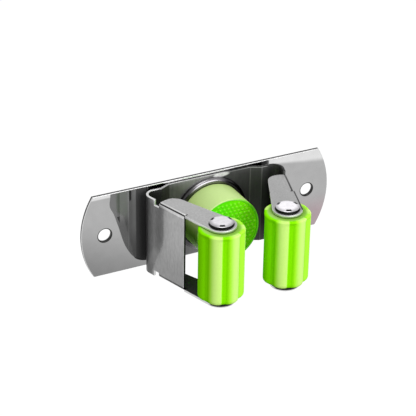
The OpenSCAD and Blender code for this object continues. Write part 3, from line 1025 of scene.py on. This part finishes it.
# The rollers: lime green rubber moulded on a plastic core, with seven round ribs
# along its length. They turn on the pins between the ears, with a thin plastic
# washer at each end.
roller_radius = 0.01106
roller_half = 0.0186
roller_edge = 0.0008
roller_steps = 210
tread_low = -0.0175
tread_low_edge = 0.0025
core_radius = 0.0050
core_edge = 0.0002
glue = 0.00002
rib_count = 7
rib_radius = 0.0046
rib_smooth_angle = math.radians(35)
groove_depth = 0.0011
groove_turn = math.radians(17)
fade_start = 0.0162
fade_end = 0.0184
fade_levels_height = 0.0016
fade_steps = 5
shaded_turn = math.radians(176)
washer_radius = 0.0055
washer_low = 0.0187
washer_high = 0.0190
# Roller colours: a deep base green, painted highlights on the ribs, and a painted shadow and highlight on
# the upper end.
groove_green = (0.24, 0.84, 0.001)
roller_soft_highlight_green = (0.40, 0.96, 0.02)
roller_highlight_green = (0.62, 0.95, 0.22)
end_ear_shadow_green = (0.20, 0.42, 0.05)
end_outer_green = (0.28, 0.58, 0.08)
end_highlight_green = (0.42, 0.66, 0.19)
core_greys = ((0.75, 0.75, 0.72), (0.80, 0.80, 0.77))
washer_greys = ((0.70, 0.71, 0.70), (0.76, 0.77, 0.76))


def roller_paint(tree, x, y, z):
    """Lime green, deep in the grooves and paler on the right as painted light. Every rib but the one turned
    to the shaded side has a painted highlight that pales towards its crest, up to a sharp end behind it. The
    upper end has a painted shadow, darker round the ear, and a painted highlight on its left."""
    reach = diagonal(tree, x, y)
    angle = calc(tree, "ARCTAN2", y, x)
    pitch = 2 * math.pi / rib_count
    turned = calc(tree, "ADD", angle, math.pi / 2 + groove_turn)
    from_rib = minus(tree, calc(tree, "WRAP", turned, pitch, 0.0), pitch / 2)
    rib_turn = minus(tree, angle, from_rib)
    shaded = calc(tree, "COSINE", minus(tree, rib_turn, shaded_turn))
    # Painted highlight on each rib, stronger on the right, left out on the rib turned to the shaded side.
    pale = times(tree, fade(tree, from_rib, -0.44, 0.12), fade_out(tree, from_rib, 0.28, 0.37))
    pale = calc(tree, "MAXIMUM", pale, fade(tree, x, 0.0045, 0.0056, 0.0, 0.42))
    pale = times(tree, pale, fade_out(tree, shaded, 0.70, 0.90))
    side = blend_colour(tree, fade(tree, pale, 0.05, 0.40), groove_green, roller_soft_highlight_green)
    side = blend_colour(tree, fade(tree, pale, 0.25, 1.0), side, roller_highlight_green)
    # Painted shadow round the ear on the upper end, and a painted highlight on its left.
    top = blend_colour(tree, fade(tree, reach, 0.0072, 0.0094), end_ear_shadow_green, end_outer_green)
    top = blend_colour(tree, fade(tree, x, -0.0095, -0.0050, 0.75, 0.0), top, end_highlight_green)
    on_top = times(tree, fade(tree, z, 0.0180, 0.0185), fade_out(tree, reach, 0.0084, 0.0100))
    return blend_colour(tree, on_top, side, top)


tree, sizes, output = new_tree("ribs", [
    "Ribs", "Rib radius", "Radius", "Groove depth", "Bore", "Groove angle", "Fade start", "Fade end"])
place = put_node(tree, "GeometryNodeInputPosition")
x, y, z = put_node(tree, "ShaderNodeSeparateXYZ", {0: place.outputs[0]}).outputs
reach = diagonal(tree, x, y)
angle = minus(tree, calc(tree, "ARCTAN2", y, x), sizes["Groove angle"])
pitch = calc(tree, "DIVIDE", 2 * math.pi, sizes["Ribs"])
from_rib = minus(tree, calc(tree, "WRAP", angle, pitch, 0.0), times(tree, pitch, 0.5))
rib_place = minus(tree, sizes["Radius"], sizes["Rib radius"])
aside = times(tree, rib_place, calc(tree, "SINE", from_rib))
rise = minus(tree, times(tree, sizes["Rib radius"], sizes["Rib radius"]), times(tree, aside, aside))
rib = calc(tree, "ADD", times(tree, rib_place, calc(tree, "COSINE", from_rib)), calc(tree, "SQRT", rise))
surface = calc(tree, "MAXIMUM", rib, minus(tree, sizes["Radius"], sizes["Groove depth"]))
fading = fade(tree, z, sizes["Fade start"], sizes["Fade end"], 1.0, 0.25)
drop = times(tree, minus(tree, sizes["Radius"], surface), fading)
share = calc(tree, "DIVIDE", minus(tree, reach, sizes["Bore"]), minus(tree, sizes["Radius"], sizes["Bore"]))
scale = calc(tree, "DIVIDE", minus(tree, reach, times(tree, drop, share)), reach)
moved = vector(tree, times(tree, x, scale), times(tree, y, scale), z)
shaped = put_node(tree, "GeometryNodeSetPosition", {"Geometry": sizes["Geometry"], "Position": moved})
painted = finish_tree(tree, shaped.outputs[0], output)

bore = core_radius + glue
fading_levels = [fade_start + fade_levels_height * i / fade_steps for i in range(fade_steps + 1)]
tread_profile = rounded(
    [(bore, tread_low), (roller_radius, tread_low)] + [(roller_radius, height) for height in fading_levels]
    + [(roller_radius, roller_half), (bore, roller_half)],
    [0.0001, tread_low_edge] + [0] * len(fading_levels) + [roller_edge, 0.0001], 6)
core_profile = ring_outline(pin_bore, core_radius, -roller_half, roller_half, [core_edge] * 4, 2)
# Painted light: the core a little lighter towards the top, and the washers towards the right.
core_finish = rubber("core_plastic", lambda tree, x, y, z: blend_colour(
    tree, fade(tree, z, -roller_half, roller_half), *core_greys), roughness=0.4)
washer_finish = rubber("washer_plastic", lambda tree, x, y, z: blend_colour(
    tree, fade(tree, x, -0.02, 0.02), *washer_greys), roughness=0.35)
for name, side in (("left", -1), ("right", 1)):
    pin = Matrix.Translation((side * pin_x, pin_y, 0))
    painted.inputs["Material"].default_value = rubber(
        name + "_tread_rubber", roller_paint, roughness=0.42, shine=0.0, centre=(side * pin_x, pin_y, 0))
    drum = lathe(name + "_roller_ribbed", tread_profile, Matrix(), steps=roller_steps)
    mesh = run_tree(tree, drum, {"Ribs": float(rib_count), "Rib radius": rib_radius, "Radius": roller_radius,
                                 "Groove depth": groove_depth, "Bore": bore,
                                 "Groove angle": -math.pi / 2 - groove_turn,
                                 "Fade start": fade_start, "Fade end": fade_end}, pin, rib_smooth_angle)
    put_piece(name + "_roller_ribbed", mesh, name + "_roller", "tread_rubber", name + "_roller_tread")
    turned_piece(name + "_core_moulded", core_profile, pin, core_finish, name + "_roller", "core_plastic",
                 name + "_roller_core", steps=64)
    for end, low, high in (("upper", washer_low, washer_high), ("lower", -washer_high, -washer_low)):
        washer(f"{name}_{end}_washer_ring", washer_radius, low, high, pin, washer_finish, name + "_arm",
               "washer_plastic", f"{name}_{end}_washer")


# The roller pins: steel rivets through the ears, with a polished domed head that
# three tool marks hold from turning, and a tail that is peened flat below.
def head_tone(tree, x, y, z):
    """Bright in the middle of a head and darker towards its rim, as painted shading of the dome, and a
    little brighter on the right pin as painted light.
    """
    reach = diagonal(tree, *arm_place(tree, x, y))
    return times(tree, fade(tree, reach, 0.0036, 0.0056, 0.86, 0.42), halves(tree, x, 0.92, 1.12))


pin_radius = 0.0030
tail_radius = 0.0047
tail_low = -0.0215
ear_outside = 0.0202
neck_foot = (0.0051, ear_outside)
neck_top = (0.0052, 0.0207)
head_radius = 0.00575
head_low = 0.0209
dome_low = 0.0213
dome_radius = 0.0057
dome_rise = 0.0009
dome_steps = 12
mark_inner = 0.0039
mark_outer = 0.0052
mark_first = math.radians(8)
mark_count = 3
mark_limit = 0.68
tail_top = -0.02
shank_top = 0.0201
head_rim_top = 0.0212
head_finish = steel("rivet_head", head_tone, roughness=0.32, grain=(500.0, 500.0, 500.0), spread=0.10,
                    tint=(0.98, 0.96, 1.0))
# A dark finish for a painted shadow under the head's rim, and for the tool marks, painted dark as their
# reflection.
marks_and_shadow_finish = steel("rivet_marks_and_shadow", tone=0.02, roughness=0.5, spread=0.3)
tail_finish = steel("rivet_tail", tone=0.03, roughness=0.4, spread=0.3)
pin_profile = rounded(
    [(0.0, tail_low), (tail_radius, tail_low), (tail_radius, -ear_outside), (pin_radius, -ear_outside),
     (pin_radius, ear_outside), neck_foot, neck_top, (head_radius, head_low), (head_radius, dome_low)],
    [0, 0.0005, 0.0001, 0, 0, 0.0001, 0.0001, 0.0001, 0.0001], 3)
for i in range(1, dome_steps):
    a = math.pi / 2 * i / dome_steps
    pin_profile.append(Vector((dome_radius * math.cos(a), dome_low + dome_rise * math.sin(a))))
pin_profile.append(Vector((0.0, dome_low + dome_rise)))
head_slot, marks_and_shadow_slot, tail_slot, shank_slot = range(4)
for name, side in (("left", -1), ("right", 1)):
    centre = Vector((side * pin_x, pin_y, 0))
    mesh = lathe(name + "_pin_riveted", pin_profile, Matrix.Translation(centre), closed=False)
    for finish in (head_finish, marks_and_shadow_finish, tail_finish, rivet_steel):
        mesh.materials.append(finish)
    # Painted shadow on the faces under the head's rim, and the tool marks painted dark as their reflection.
    for face in mesh.polygons:
        spot = face.center - centre
        at_mark = math.cos(mark_count * (math.atan2(spot.y, spot.x) - mark_first)) > mark_limit
        marked = at_mark and mark_inner < math.hypot(spot.x, spot.y) < mark_outer
        if spot.z < tail_top:
            face.material_index = tail_slot
        elif spot.z < shank_top:
            face.material_index = shank_slot
        elif marked or spot.z < head_rim_top:
            face.material_index = marks_and_shadow_slot
        else:
            face.material_index = head_slot
    put_piece(name + "_pin_riveted", mesh, name + "_arm", "rivet_steel", name + "_roller_pin")
